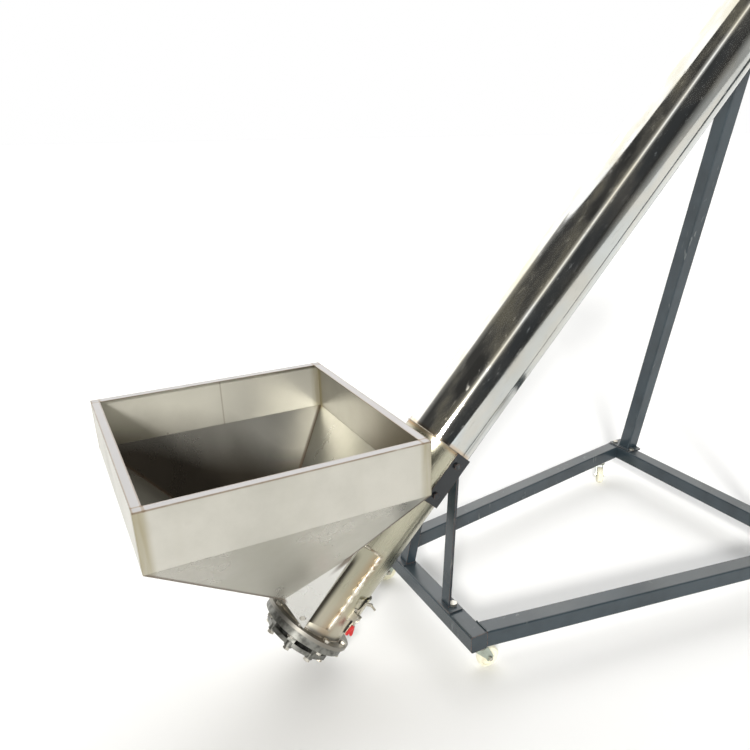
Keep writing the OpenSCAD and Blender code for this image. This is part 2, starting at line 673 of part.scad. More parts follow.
module caster_wheel_3() caster_wheel(2);
module caster_wheel_4() caster_wheel(3);
module caster_axles_1() caster_axle(0);
module caster_axles_2() caster_axle(1);
module caster_axles_3() caster_axle(2);
module caster_axles_4() caster_axle(3);

front_crossbar();
rear_crossbar();
side_rail_left();
side_rail_right();
tube_end_plugs();
front_strut_left();
front_strut_right();
strut_foot_plates();
cradle_strips();
rear_post_left();
rear_post_right();
post_foot_plates();
post_crosshead();
rear_saddle();
saddle_strap();
frame_bolts();
cradle_bolts();
hopper_skirt();
hopper_cone();
hopper_bolts();
inlet_box();
lower_tube();
upper_tube();
cleanout_door();
door_gasket();
door_hinge();
hinge_pin();
clamp_base();
clamp_arm();
clamp_handle();
clamp_grip();
bearing_bracket();
lower_bearing();
lower_seal();
flange_bolts();
screw_core();
screw_flight();
discharge_spout();
upper_lantern();
upper_bearing();
gearbox_case();
output_gear();
motor_rotor();
motor_fan();
motor_case();
fan_cowl();
terminal_box();
caster_plates();
caster_fork_1();
caster_fork_2();
caster_fork_3();
caster_fork_4();
caster_wheel_1();
caster_wheel_2();
caster_wheel_3();
caster_wheel_4();
caster_axles_1();
caster_axles_2();
caster_axles_3();
caster_axles_4();
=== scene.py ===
# %% [markdown]
# # A grain auger, finished in Blender
# The steel, the sheet and the frame come packed from CAD and stay as they are. This file gives every part
# its finish, adds the weld beads that CAD leaves out, and sets the light and the camera.

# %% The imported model
import json
import math
import random

import bpy
from mathutils import Matrix, Vector


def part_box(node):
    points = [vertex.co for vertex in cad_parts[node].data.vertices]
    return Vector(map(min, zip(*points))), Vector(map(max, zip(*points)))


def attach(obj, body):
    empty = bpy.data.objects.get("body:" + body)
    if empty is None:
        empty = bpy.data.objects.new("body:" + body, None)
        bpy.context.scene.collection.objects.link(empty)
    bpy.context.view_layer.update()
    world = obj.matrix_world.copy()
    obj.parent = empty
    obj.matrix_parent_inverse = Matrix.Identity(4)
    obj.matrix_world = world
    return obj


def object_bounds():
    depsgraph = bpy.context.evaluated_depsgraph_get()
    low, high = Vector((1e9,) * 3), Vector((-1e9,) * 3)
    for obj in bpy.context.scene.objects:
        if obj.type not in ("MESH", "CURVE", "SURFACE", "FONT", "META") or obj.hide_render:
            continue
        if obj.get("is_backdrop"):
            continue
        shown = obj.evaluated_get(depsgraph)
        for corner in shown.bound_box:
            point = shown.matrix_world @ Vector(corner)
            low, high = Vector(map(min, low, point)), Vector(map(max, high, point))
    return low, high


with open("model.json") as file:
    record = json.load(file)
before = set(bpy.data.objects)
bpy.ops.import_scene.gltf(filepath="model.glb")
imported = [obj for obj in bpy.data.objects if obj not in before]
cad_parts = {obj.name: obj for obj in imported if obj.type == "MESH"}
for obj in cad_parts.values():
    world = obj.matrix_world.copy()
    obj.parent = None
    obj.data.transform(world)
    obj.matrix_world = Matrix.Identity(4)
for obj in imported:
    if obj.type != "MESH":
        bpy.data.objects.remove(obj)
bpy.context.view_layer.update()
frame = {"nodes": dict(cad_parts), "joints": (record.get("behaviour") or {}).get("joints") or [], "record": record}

record = frame["record"]

# %% [markdown]
# ## Where things are
# The tube slopes, so most of its detail is easier to place in its own directions: along the tube, away from
# its upper side, and across. The screw's joint gives the tube's axis, so nothing is measured by hand.

# %% The tube's own directions
screw = next(j for j in frame["joints"] if j["name"] == "screw_spin")
ALONG = Vector(screw["axis"]).normalized()
ACROSS = Vector((0, 1, 0))
UP = ALONG.cross(ACROSS).normalized()
if UP.z < 0:
    UP = -UP
FOOT = Vector(screw["pos_m"])
TUBE_R = 0.097
FLANGE_TOP, SEAM, TUBE_TOP = 0.200, 0.786, 2.800


def on_tube(along, up=0.0, across=0.0):
    """A point given in the tube's directions, in metres."""
    return FOOT + ALONG * along + UP * up + ACROSS * across


def round_tube(along, turn, radius=TUBE_R):
    """A point on the tube, turned from its upper side towards -Y, in degrees."""
    a = math.radians(turn)
    return on_tube(along, radius * math.cos(a), -radius * math.sin(a))


print("tube rises", round(math.degrees(math.asin(ALONG.z)), 1), "degrees")

# %% The hopper's corners
rim_low, rim_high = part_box("hopper_skirt")
HOP_X = rim_low.x
SKIRT_Z = rim_low.z


def hop(x, y, z):
    """A point measured from the hopper's low end, in millimetres."""
    return Vector((HOP_X + x / 1000, y / 1000, z / 1000))


MOUTH_LOW, MOUTH_HIGH = (311, 105, 309), (461, 194, 437)
print("hopper", [round(v, 3) for v in rim_high - rim_low])

# %% [markdown]
# ## Shader maths as sums
# A finish is made of masks, and a mask is a small sum: noise minus a distance, times a strength. Wiring each
# sum by hand hides what it says, so a socket is wrapped in a class whose operators add the Math nodes.

# %% A socket that takes part in sums
class Wire:
    """One output of a node, in the graph that it belongs to."""

    def __init__(self, graph, socket):
        self.graph, self.socket = graph, socket

    def maths(self, operation, first, second):
        return self.graph.node("ShaderNodeMath", {"operation": operation}, {0: first, 1: second})

    def __add__(self, other):
        return self.maths("ADD", self, other)

    __radd__ = __add__

    def __sub__(self, other):
        return self.maths("SUBTRACT", self, other)

    def __rsub__(self, other):
        return self.maths("SUBTRACT", other, self)

    def __mul__(self, other):
        return self.maths("MULTIPLY", self, other)

    __rmul__ = __mul__

    def size(self):
        """The value without its sign."""
        return self.maths("ABSOLUTE", self, 0)

    def rises(self, low, high):
        """0 below low, 1 above high, smooth between; falls if low is the greater."""
        return self.graph.node(
            "ShaderNodeMapRange", {"interpolation_type": "SMOOTHSTEP"},
            {"Value": self, "From Min": low, "From Max": high})


# %% A node graph and a finish
class Graph:
    """A node tree with one method that adds and wires any node."""

    def __init__(self, tree):
        self.tree = tree

    def node(self, kind, settings=None, values=None, out=0):
        """Adds a node: settings first, then each socket's value or link. Returns one output."""
        made = self.tree.nodes.new(kind)
        for key, value in (settings or {}).items():
            if key == "stops":
                while len(made.color_ramp.elements) < len(value):
                    made.color_ramp.elements.new(0.5)
                for element, (at, colour) in zip(made.color_ramp.elements, value):
                    element.position, element.color = at, (*colour, 1)
            else:
                setattr(made, key, value)
        for key, value in (values or {}).items():
            if isinstance(value, Wire):
                self.tree.links.new(value.socket, made.inputs[key])
            else:
                made.inputs[key].default_value = value
        return Wire(self, made.outputs[out])

    def dot(self, vector, direction, offset=0.0):
        """How far a point lies along a direction."""
        made = self.node("ShaderNodeVectorMath", {"operation": "DOT_PRODUCT"},
                         {0: vector, 1: tuple(direction)}, out="Value")
        return made - offset if offset else made

    def mix(self, share, first, second):
        """Colour first where share is 0, second where it is 1."""
        colours = [c if isinstance(c, Wire) else (*c, 1) for c in (first, second)]
        return self.node("ShaderNodeMix", {"data_type": "RGBA"},
                         {0: share, 6: colours[0], 7: colours[1]}, out=2)


class Finish(Graph):
    """A node material that starts with one Principled shader."""

    def __init__(self, name, metal=0.0, roughness=0.5, **constants):
        self.material = bpy.data.materials.new(name)
        self.material.use_nodes = True
        super().__init__(self.material.node_tree)
        self.shader = self.tree.nodes["Principled BSDF"]
        self.shader.inputs["Metallic"].default_value = metal
        self.shader.inputs["Roughness"].default_value = roughness
        for socket, value in constants.items():
            self.shader.inputs[socket.replace("_", " ")].default_value = value
        self.place = self.node("ShaderNodeTexCoord", out="Object")

    def give(self, socket, wire):
        """Feeds one of the shader's sockets."""
        self.tree.links.new(wire.socket, self.shader.inputs[socket])

    def facing(self):
        """The direction that the surface faces."""
        return self.node("ShaderNodeNewGeometry", out="Normal")

    def squeezed(self, *factors):
        """The place with X, Y and Z each multiplied by its own factor."""
        return self.node("ShaderNodeVectorMath", {"operation": "MULTIPLY"}, {0: self.place, 1: factors})

    def noise(self, scale, detail=3.0, at=None, rough=0.5):
        return self.node("ShaderNodeTexNoise", {}, {
            "Vector": at or self.place, "Scale": scale, "Detail": detail, "Roughness": rough})

    def stretched(self, along, up, across):
        """The place in the tube's directions, each squeezed by its own factor, for streaks."""
        return self.node("ShaderNodeCombineXYZ", {}, {
            0: self.dot(self.place, ALONG) * along,
            1: self.dot(self.place, UP) * up,
            2: self.dot(self.place, ACROSS) * across})

    def line_near(self, start, end, width):
        """1 on the line through two points, 0 beyond width."""
        way = (Vector(end) - Vector(start)).normalized()
        away = self.node("ShaderNodeVectorMath", {"operation": "SUBTRACT"}, {0: self.place, 1: tuple(start)})
        cross = self.node("ShaderNodeVectorMath", {"operation": "CROSS_PRODUCT"}, {0: away, 1: tuple(way)})
        gap = self.node("ShaderNodeVectorMath", {"operation": "LENGTH"}, {0: cross}, out="Value")
        return gap.rises(width, width * 0.35)

    def edges(self, radius):
        """1 on sharp edges, 0 on open faces; also the rounded normal."""
        soft = self.node("ShaderNodeBevel", {"samples": 4}, {"Radius": radius})
        same = self.node("ShaderNodeVectorMath", {"operation": "DOT_PRODUCT"},
                         {0: soft, 1: self.facing()}, out="Value")
        return same.rises(0.985, 0.80), soft

    def bump(self, height, strength, depth, normal=None):
        values = {"Height": height, "Strength": strength, "Distance": depth}
        if normal:
            values["Normal"] = normal
        self.give("Normal", self.node("ShaderNodeBump", {}, values))


print("shader helpers ready")

# %% [markdown]
# ## Paint on square tube
# Gloss enamel over mild steel. It was brushed on by hand, so the gloss has a slight orange peel; corners
# lose their paint first and the bare spots rust. A rounded-edge normal finds the corners, and noise breaks
# the worn line up so that it isn't drawn with a ruler.

# %% Frame paint
def enamel(name, colour, wear=1.0, dust_and_sheen=0.25):
    paint = Finish(name, roughness=0.3, Specular_IOR_Level=0.55)
    edge, soft = paint.edges(0.0018)
    patches = paint.noise(9, 4)
    chips = paint.noise(55, 5, rough=0.62)
    worn = (edge * 0.55 * wear + chips * 1.0 + patches * 0.25).rises(0.93, 1.02)
    dark = tuple(c * 0.72 for c in colour)
    base = paint.mix(patches.rises(0.35, 0.7), colour, dark)
    film = paint.noise(3.1, 5)
    # Upward faces are painted lighter: partly settled dirt, partly a painted sheen for the light that the tops
    # catch.
    up_face = paint.dot(paint.facing(), (0, 0, 1)).rises(0.6, 0.95)
    base = paint.mix(up_face * film.rises(0.3, 0.75) * dust_and_sheen, base, (0.36, 0.34, 0.30))
    scuffs = paint.noise(1.0, 3, at=paint.squeezed(70, 70, 12)).rises(0.64, 0.72)
    base = paint.mix(scuffs * patches.rises(0.45, 0.6) * 0.5, base, (0.17, 0.19, 0.19))
    rust = paint.mix(paint.noise(120, 3).rises(0.4, 0.6), (0.20, 0.075, 0.03), (0.09, 0.05, 0.035))
    paint.give("Base Color", paint.mix(worn, base, rust))
    paint.give("Roughness", film * 0.22 + worn * 0.4 + up_face * 0.08 + 0.12)
    peel = paint.noise(260, 2)
    paint.bump(peel * 0.35 - worn * 0.8, 0.28, 0.0006, soft)
    return paint.material


FRAME_PAINT = enamel("frame_paint", (0.032, 0.047, 0.058), dust_and_sheen=0.13)
DRIVE_PAINT = enamel("drive_paint", (0.026, 0.040, 0.052), wear=0.6)
# The cradle's own paint is the frame's blue-grey; this near-black copy is a painted dark reflection, with heavy
# edge rust.
CRADLE_PAINT_DARK_REFLECTION = enamel("cradle_paint_dark_reflection", (0.012, 0.015, 0.018), wear=1.9, dust_and_sheen=0.1)
print("paint:", FRAME_PAINT.name, DRIVE_PAINT.name, CRADLE_PAINT_DARK_REFLECTION.name)

# %% [markdown]
# ## Polished tube
# The long tube is bought polished. It mirrors the room in long bands, broken by fine scratches that run
# along it, by finger smudges, and by the straw and blue tint that welding leaves beside the seam.

# %% Polished tube steel
def polished(name, tint=(0.84, 0.83, 0.79)):
    steel = Finish(name, metal=1.0)
    lines = steel.noise(1.0, 3, at=steel.stretched(5, 420, 420))
    smudge = steel.noise(7, 4)
    along = steel.dot(steel.place, ALONG, FOOT.dot(ALONG))
    heat = (along - SEAM).size().rises(0.014, 0.004)
    straw = steel.mix(smudge.rises(0.3, 0.7), (0.62, 0.42, 0.22), (0.50, 0.36, 0.26))
    scratch = steel.noise(1.0, 1, at=steel.stretched(1.2, 95, 95)).rises(0.73, 0.755)
    colour = steel.mix(smudge.rises(0.4, 0.75) * 0.35, tint, tuple(c * 0.88 for c in tint))
    facing = steel.facing()
    # Painted reflection: faces turned up get olive patches and the other faces bluish patches, the tints of the
    # room's bands in a polished tube.
    olive = steel.dot(facing, UP).rises(0.45, 0.75)
    patches = steel.noise(1.0, 4, at=steel.stretched(7, 22, 22)).rises(0.36, 0.66)
    rubbed_and_shaded = steel.noise(1.0, 4, at=steel.stretched(30, 110, 110)).rises(0.62, 0.70)
    bluish = steel.mix(patches, (0.74, 0.80, 0.84), colour)
    colour = steel.mix(olive, bluish, steel.mix(patches, colour, (0.72, 0.68, 0.55)))
    colour = steel.mix(scratch * 0.4, colour, (0.60, 0.40, 0.22))
    # Painted dark reflection: all but the upper side of the tube is darkened, more where the smudge noise is high.
    below = steel.dot(facing, -UP).rises(-0.40, -0.22)
    colour = steel.mix(below * (smudge * 0.5 + 0.35), colour, (0.42, 0.41, 0.36))
    steel.give("Metallic", 1.0 - olive * patches * 0.07 - rubbed_and_shaded * 0.05 - patches * 0.02)
    steel.give("Base Color", steel.mix(heat * 0.5, colour, straw))
    dull = smudge.rises(0.5, 0.8) * 0.07 + heat * 0.05 + below * 0.05 + rubbed_and_shaded * 0.12
    steel.give("Roughness", lines * 0.05 + dull + 0.03)
    steel.bump(lines, 0.03, 0.0001)
    return steel.material


TUBE_STEEL = polished("tube_steel")
print("polished:", TUBE_STEEL.name)

# %% [markdown]
# ## Satin box steel
# The lower tube and the inlet box are cut, rolled and welded, then wiped with a flap disc. They look duller
# and more olive than the bought tube, with brown heat marks along every bead and grey dirt towards the end.

# %% Box steel
def satin(name, tint=(0.50, 0.48, 0.37), rough=0.26):
    steel = Finish(name, metal=1.0)
    grain = steel.noise(1.0, 3, at=steel.stretched(14, 260, 260))
    cloud = steel.noise(6, 4)
    along = steel.dot(steel.place, ALONG, FOOT.dot(ALONG))
    up = steel.dot(steel.place, UP, FOOT.dot(UP))
    by_bead = (up - 0.012).size().rises(0.030, 0.006) * along.rises(0.47, 0.44)
    seam = (along - SEAM).size().rises(0.014, 0.004)
    end = along.rises(0.36, 0.22)
    heat = (by_bead * 0.5 + seam) * cloud.rises(0.25, 0.6)
    colour = steel.mix(cloud.rises(0.35, 0.7) * 0.6, tint, tuple(c * 0.74 for c in tint))
    colour = steel.mix(end * 0.7, colour, (0.62, 0.58, 0.48))
    colour = steel.mix(heat * 0.75, colour, (0.42, 0.25, 0.12))
    # Partly grime, partly painted shade: the low flange, below the flange top, is darkened.
    colour = steel.mix(along.rises(0.214, 0.206) * (cloud * 0.4 + 0.6), colour, (0.25, 0.24, 0.22))
    # Painted shadow: a near-black band on the box's side under the hopper's collar, where the gap between them
    # lies in shade.
    gap = up.rises(0.052, 0.070) * along.rises(0.450, 0.400) * along.rises(0.205, 0.215)
    steel.give("Base Color", steel.mix(gap * 0.95, colour, (0.03, 0.025, 0.02)))
    steel.give("Roughness", grain * 0.10 + cloud * 0.12 + heat * 0.15 + end * 0.12 + rough - 0.10)
    _, soft = steel.edges(0.0012)
    steel.bump(grain, 0.10, 0.0003, soft)
    return steel.material


BOX_STEEL = satin("box_steel")
print("satin:", BOX_STEEL.name)

# %% [markdown]
# ## Hopper sheet
# Folded stainless sheet with a milky mill finish. Hands and grain leave soft stains, the corners are welded
# and ground, so a dull brown band runs down each corner, and the cone's seams are dark. A painted image would
# need the folded sheets unwrapped, so each mark is a mask measured from the hopper's own corners instead.

# %% Lines along the hopper's edges
RIM_Z = rim_high.z
LIP = 0.020
HOPPER_L = (rim_high.x - rim_low.x) * 1000
HOPPER_HALF = rim_high.y * 1000


def lip_lines(steel, width):
    """Lines along both edges of the lip."""
    lines = 0.0
    x0, x1, y1 = rim_low.x, rim_high.x, rim_high.y
    for gap in (0.0, LIP):
        ends = [Vector((x, y, RIM_Z)) for x, y in (
            (x0 + gap, gap - y1), (x1 - gap, gap - y1), (x1 - gap, y1 - gap), (x0 + gap, y1 - gap))]
        for start, end in zip(ends, ends[1:] + ends[:1]):
            lines = steel.line_near(start, end, width) + lines
    return lines


def corner_bands(steel, width):
    """Upright bands down the skirt's four corners."""
    bands = 0.0
    for x in (rim_low.x, rim_high.x):
        for y in (-rim_high.y, rim_high.y):
            foot = Vector((x, y, 0))
            bands = steel.line_near(foot, foot + Vector((0, 0, 1)), width) + bands
    return bands


def cone_seams(steel, width):
    """Lines down the cone's four edges, from the skirt's corners to the mouth's."""
    seams = 0.0
    for side in (-1, 1):
        for x, mouth in ((0, MOUTH_LOW), (HOPPER_L, MOUTH_HIGH)):
            start = hop(x, side * HOPPER_HALF, SKIRT_Z * 1000)
            end = hop(mouth[0], side * mouth[1], mouth[2])
            seams = steel.line_near(start, end, width) + seams
    return seams


print("lip", LIP, "m wide, hopper", round(HOPPER_L), "by", round(2 * HOPPER_HALF), "mm")

# %% Light and shade inside the hopper
# A dark brown for grain fines, also used as painted shade deep in the hopper.
DUST_AND_DEEP_SHADE = (0.10, 0.085, 0.065)


def inner_walls(steel, colour, cloud, height, below):
    """Paints shade on the walls towards the cone's mouth, where little light falls and grain fines lie; also
    painted light on the far wall and painted shade on the right wall.
    """
    facing = steel.facing()
    east = steel.dot(steel.place, (1, 0, 0), HOP_X)
    north = steel.dot(steel.place, (0, 1, 0))
    to_west = steel.dot(facing, (-1, 0, 0)).rises(0.4, 0.8)
    to_south = steel.dot(facing, (0, -1, 0)).rises(0.4, 0.8)
    # Painted shade on the far wall: darker lower down and towards the upper left, with a painted gleam left
    # lighter at the lower right; grain fines add to it.
    gleam = east.rises(0.33, 0.50) * height.rises(SKIRT_Z - 0.16, SKIRT_Z - 0.05)
    depth = height.rises(SKIRT_Z + 0.10, SKIRT_Z - 0.20)
    upper_left_darkening = east.rises(0.32, 0.06) * height.rises(RIM_Z - 0.015, SKIRT_Z) * 0.45
    shade_and_dust = depth * 1.35 + upper_left_darkening + cloud * 0.3 - east * 0.9 - gleam * 0.9
    # Painted light: the inner face of the far wall is lightened.
    colour = steel.mix(to_south * north.rises(0.2, 0.3) * 0.6, colour, (0.84, 0.82, 0.74))
    colour = steel.mix(to_south * north.rises(0.1, 0.2) * shade_and_dust, colour, DUST_AND_DEEP_SHADE)
    # Painted shade: the inner face of the right wall is darkened, most towards the near side and on the skirt
    # above the cone.
    rubbed_and_shaded = north.rises(0.22, -0.20) * 0.55 + (1.0 - below) * 0.35 + 0.12
    colour = steel.mix(to_west * east.rises(0.3, 0.5) * rubbed_and_shaded, colour, (0.13, 0.115, 0.08))
    # Painted shade with grain fines: the up-facing inner faces low in the cone are darkened.
    floor_side = steel.dot(facing, (0, 0, 1)).rises(0.0, 0.2) * below
    bottom = height.rises(SKIRT_Z - 0.10, SKIRT_Z - 0.28)
    return steel.mix(floor_side * bottom * 0.7, colour, DUST_AND_DEEP_SHADE)


def below_mouth(steel, height):
    """1 on the collar, which starts at the mouth's sloping edge."""
    (x0, _, z0), (x1, _, z1) = MOUTH_LOW, MOUTH_HIGH
    slope = (z1 - z0) / (x1 - x0)
    edge = (z0 - slope * x0) / 1000
    return (height - steel.dot(steel.place, (1, 0, 0), HOP_X) * slope).rises(edge + 0.002, edge - 0.003)


# %% Hopper steel
WELD_BROWN = (0.11, 0.075, 0.045)
MIDDLE_X = 318                      # of the upright joint between the skirt's two sheets, in millimetres


def sheet_metal(name):
    steel = Finish(name)
    cloud = steel.noise(4.5, 5, rough=0.6)
    streak = steel.noise(1.0, 3, at=steel.squeezed(30, 30, 3.0))
    spots = steel.noise(16, 3)
    height = steel.dot(steel.place, (0, 0, 1))
    below = height.rises(SKIRT_Z + 0.001, SKIRT_Z - 0.001)
    colour = steel.mix(cloud.rises(0.3, 0.72), (0.555, 0.54, 0.485), (0.45, 0.44, 0.39))
    colour = steel.mix(streak.rises(0.5, 0.8) * 0.3, colour, (0.50, 0.485, 0.42))
    colour = steel.mix(spots.rises(0.62, 0.72) * 0.25, colour, (0.44, 0.42, 0.36))
    colour = steel.mix(below * cloud.rises(0.35, 0.65) * 0.45, colour, (0.50, 0.495, 0.42))
    colour = inner_walls(steel, colour, cloud, height, below)
    # Painted highlight: the collar below the mouth's sloping edge is painted near white.
    colour = steel.mix(below_mouth(steel, height) * 0.8, colour, (0.86, 0.86, 0.84))
    ground = corner_bands(steel, 0.030)
    seams = cone_seams(steel, 0.010) * below
    joint = steel.line_near(hop(MIDDLE_X, HOPPER_HALF, 0), hop(MIDDLE_X, HOPPER_HALF, 100), 0.0035)
    lines = lip_lines(steel, 0.0042)
    colour = steel.mix(ground * (streak.rises(0.3, 0.6) * 0.55 + 0.28), colour, (0.30, 0.26, 0.15))
    colour = steel.mix(lines * spots.rises(0.22, 0.48) * 0.8 + joint * 0.6, colour, (0.22, 0.16, 0.11))
    lip = height.rises(RIM_Z - 0.0006, RIM_Z - 0.0002)
    colour = steel.mix(lip * 0.9 - lines * 0.7, colour, (0.37, 0.36, 0.37))
    steel.give("Base Color", steel.mix(seams * 0.85, colour, WELD_BROWN))
    steel.give("Metallic", below * 0.40 - seams * 0.3 + 0.50)
    steel.give("Roughness", cloud * 0.16 + streak * 0.08 + ground * 0.1 - below * 0.03 + 0.20)
    _, soft = steel.edges(0.002)
    steel.bump(steel.noise(5, 1) * 0.6 + streak * 0.1, 0.08, 0.0022, soft)
    return steel.material


HOPPER_STEEL = sheet_metal("hopper_steel")
print("sheet:", HOPPER_STEEL.name)

# %% [markdown]
# ## Small metals
# Zinc plate on bolts and casters is a thin dull coat that goes chalky, machined iron is dark with dirt in
# its pores, and the screw is raw steel that the grain keeps bright.

# %% Zinc, iron and screw steel
def plated(name, tint, dirt, rough=0.32, grime=0.5, metal=0.9):
    plate = Finish(name, metal=metal)
    cloud = plate.noise(60, 4)
    wide = plate.noise(12, 3)
    edge, soft = plate.edges(0.0008)
    shade = plate.mix((cloud * 0.6 + wide * 0.4).rises(0.42, 0.66) * grime, tint, dirt)
    plate.give("Base Color", plate.mix(edge * 0.4, shade, tuple(min(1, c * 1.25) for c in tint)))
    plate.give("Roughness", cloud * 0.25 + rough - 0.1)
    plate.bump(cloud, 0.12, 0.0004, soft)
    return plate.material


ZINC = plated("zinc", (0.60, 0.58, 0.52), (0.30, 0.24, 0.15))
FORK_ZINC = plated("fork_zinc", (0.50, 0.56, 0.49), (0.26, 0.28, 0.22), rough=0.36)
BRACKET_IRON = plated("bracket_iron", (0.26, 0.26, 0.24), (0.06, 0.06, 0.052), rough=0.38, grime=0.85)
SCREW_STEEL = plated("screw_steel", (0.56, 0.55, 0.52), (0.36, 0.31, 0.24), rough=0.3)
GEAR_STEEL = plated("gear_steel", (0.48, 0.48, 0.48), (0.16, 0.13, 0.09), rough=0.25)
print("metals:", [m.name for m in (ZINC, FORK_ZINC, BRACKET_IRON, SCREW_STEEL, GEAR_STEEL)])

# %% [markdown]
# ## Rubber and plastics
# The wheels are cream nylon with dirt on the tread, the clamp's grip is dipped red vinyl, and the gasket is
# black sponge. Each gets noise in its colour and its roughness, at its own scale.

# %% Plastics
def moulded(name, colour, dirt, rough, scale, amount=0.5, grain=300):
    plastic = Finish(name, Specular_IOR_Level=0.45)
    cloud = plastic.noise(scale, 4)
    plastic.give("Base Color", plastic.mix(cloud.rises(0.4, 0.75) * amount, colour, dirt))
    plastic.give("Roughness", cloud * 0.2 + rough - 0.1)
    _, soft = plastic.edges(0.0008)
    plastic.bump(plastic.noise(grain, 2), 0.15, 0.0003, soft)
    return plastic.material


WHEEL_NYLON = moulded("wheel_nylon", (0.95, 0.92, 0.74), (0.50, 0.44, 0.28), 0.42, 45, amount=0.35)
RED_GRIP = moulded("red_grip", (0.62, 0.035, 0.035), (0.30, 0.02, 0.02), 0.32, 60)
BLACK_RUBBER = moulded("black_rubber", (0.012, 0.012, 0.012), (0.05, 0.05, 0.045), 0.7, 80)
FAN_PLASTIC = moulded("fan_plastic", (0.02, 0.02, 0.02), (0.06, 0.06, 0.055), 0.5, 60)
print("plastics:", [m.name for m in (WHEEL_NYLON, RED_GRIP, BLACK_RUBBER, FAN_PLASTIC)])

# %% [markdown]
# ## Finishes on the CAD parts
# The record says which slot each part takes, so one table is enough, and no part can be forgotten.

# %% Slots to finishes
FINISH = {
    "frame_paint": FRAME_PAINT, "drive_paint": DRIVE_PAINT, "tube_steel": TUBE_STEEL,
    "box_steel": BOX_STEEL, "hopper_steel": HOPPER_STEEL, "screw_steel": SCREW_STEEL, "zinc": ZINC,
    "fork_zinc": FORK_ZINC, "bracket_iron": BRACKET_IRON, "gear_steel": GEAR_STEEL,
    "black_rubber": BLACK_RUBBER, "wheel_nylon": WHEEL_NYLON, "red_grip": RED_GRIP,
    "fan_plastic": FAN_PLASTIC}
for part in record["subparts"]:
    thing = frame["nodes"][part["node"]]
    for slot in thing.material_slots:
        slot.material = FINISH[part["material_slot"]]
# Painted dark reflection: the cradle plate and its bolts take the near-black copy of the paint instead of their
# slots' finishes.
for node in ("cradle_strips", "cradle_bolts"):
    for slot in frame["nodes"][node].material_slots:
        slot.material = CRADLE_PAINT_DARK_REFLECTION
print("finished", len(record["subparts"]), "CAD parts")

# %% [markdown]
# ## Weld beads
# A bead is a row of small overlapping pools along a seam. It is made as a tube of short rings whose radius
# swells and pinches, half sunk into the joint, so it catches light the way a real one does.

# %% One bead along a path
dice = random.Random(7)


def resample(points, step):
    """Points at an even step along a path."""
    lengths = [(b - a).length for a, b in zip(points, points[1:])]
    total, made = sum(lengths), []
    count = max(2, round(total / step))
    for i in range(count + 1):
        left = total * i / count
        for (a, b), l in zip(zip(points, points[1:]), lengths):
            if left <= l or l == lengths[-1] and (a, b) == (points[-2], points[-1]):
                made.append(a.lerp(b, min(1, left / l)))
                break
            left -= l
    return made


def bead(name, points, width, finish, rough=0.12, closed=False):
    """A welded bead along points, in metres, as one mesh on the fixed frame."""
    path = resample([Vector(p) for p in points], width * 0.42)
    if closed:
        path = path[:-1]
    verts, faces, sides = [], [], 8
    for i, p in enumerate(path):
        before = path[i - 1] if i or closed else p
        after = path[(i + 1) % len(path)] if i + 1 < len(path) or closed else p
        way = (after - before).normalized()
        side = way.orthogonal().normalized()
        if i:
            side = (last - way * last.dot(way)).normalized()
        last, other = side, way.cross(side)
        swell = width / 2 * (0.88 + 0.12 * math.sin(i * 2.4) + dice.uniform(-rough, rough))
        for k in range(sides):
            a = 2 * math.pi * k / sides
            verts.append(p + (side * math.cos(a) + other * math.sin(a)) * swell)
    rings = len(path)
    for i in range(rings if closed else rings - 1):
        for k in range(sides):
            a, b = i * sides + k, i * sides + (k + 1) % sides
            c, d = (i + 1) % rings * sides + (k + 1) % sides, (i + 1) % rings * sides + k
            faces.append((a, b, c, d))
    if not closed:
        faces.append(tuple(reversed(range(sides))))
        faces.append(tuple(range((rings - 1) * sides, rings * sides)))
    mesh = bpy.data.meshes.new(name)
    mesh.from_pydata([tuple(v) for v in verts], [], faces)
    mesh.materials.append(finish)
    for face in mesh.polygons:
        face.use_smooth = True
    made = bpy.data.objects.new(name, mesh)
    bpy.context.scene.collection.objects.link(made)
    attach(made, "frame")
    return made


print("bead maker ready")

# %% Bead finish
WELD = plated("weld_steel", (0.74, 0.70, 0.59), (0.30, 0.20, 0.11), rough=0.40, metal=0.7, grime=0.8)
SEAM_WELD = plated("seam_weld", (0.42, 0.38, 0.31), (0.20, 0.15, 0.09), rough=0.34)
print("bead finishes:", WELD.name, SEAM_WELD.name)

# %% Beads on the tube
box_low, box_high = 0.226, 0.456    # the inlet box's ends, along the tube
bead_up = 0.007
bead_y = TUBE_R + 0.0002
for side, name in ((-1, "right"), (1, "left")):
    bead(f"bead_inlet_{name}", [on_tube(end, bead_up, side * bead_y) for end in (box_low, box_high)],
         0.017, WELD, rough=0.32)
arc = [round_tube(box_high, turn, TUBE_R + 0.0005) for turn in range(-82, 83, 4)]
bead("bead_inlet_top", arc, 0.011, WELD, rough=0.3)
rings = ((SEAM, 0.004, "seam"), (FLANGE_TOP, 0.006, "low_flange"), (TUBE_TOP, 0.006, "top_flange"))
for along, width, name in rings:
    loop = [round_tube(along, turn) for turn in range(0, 361, 5)]
    bead(f"bead_{name}", loop, width, SEAM_WELD, closed=True)
print("tube beads:", 3 + len(rings))

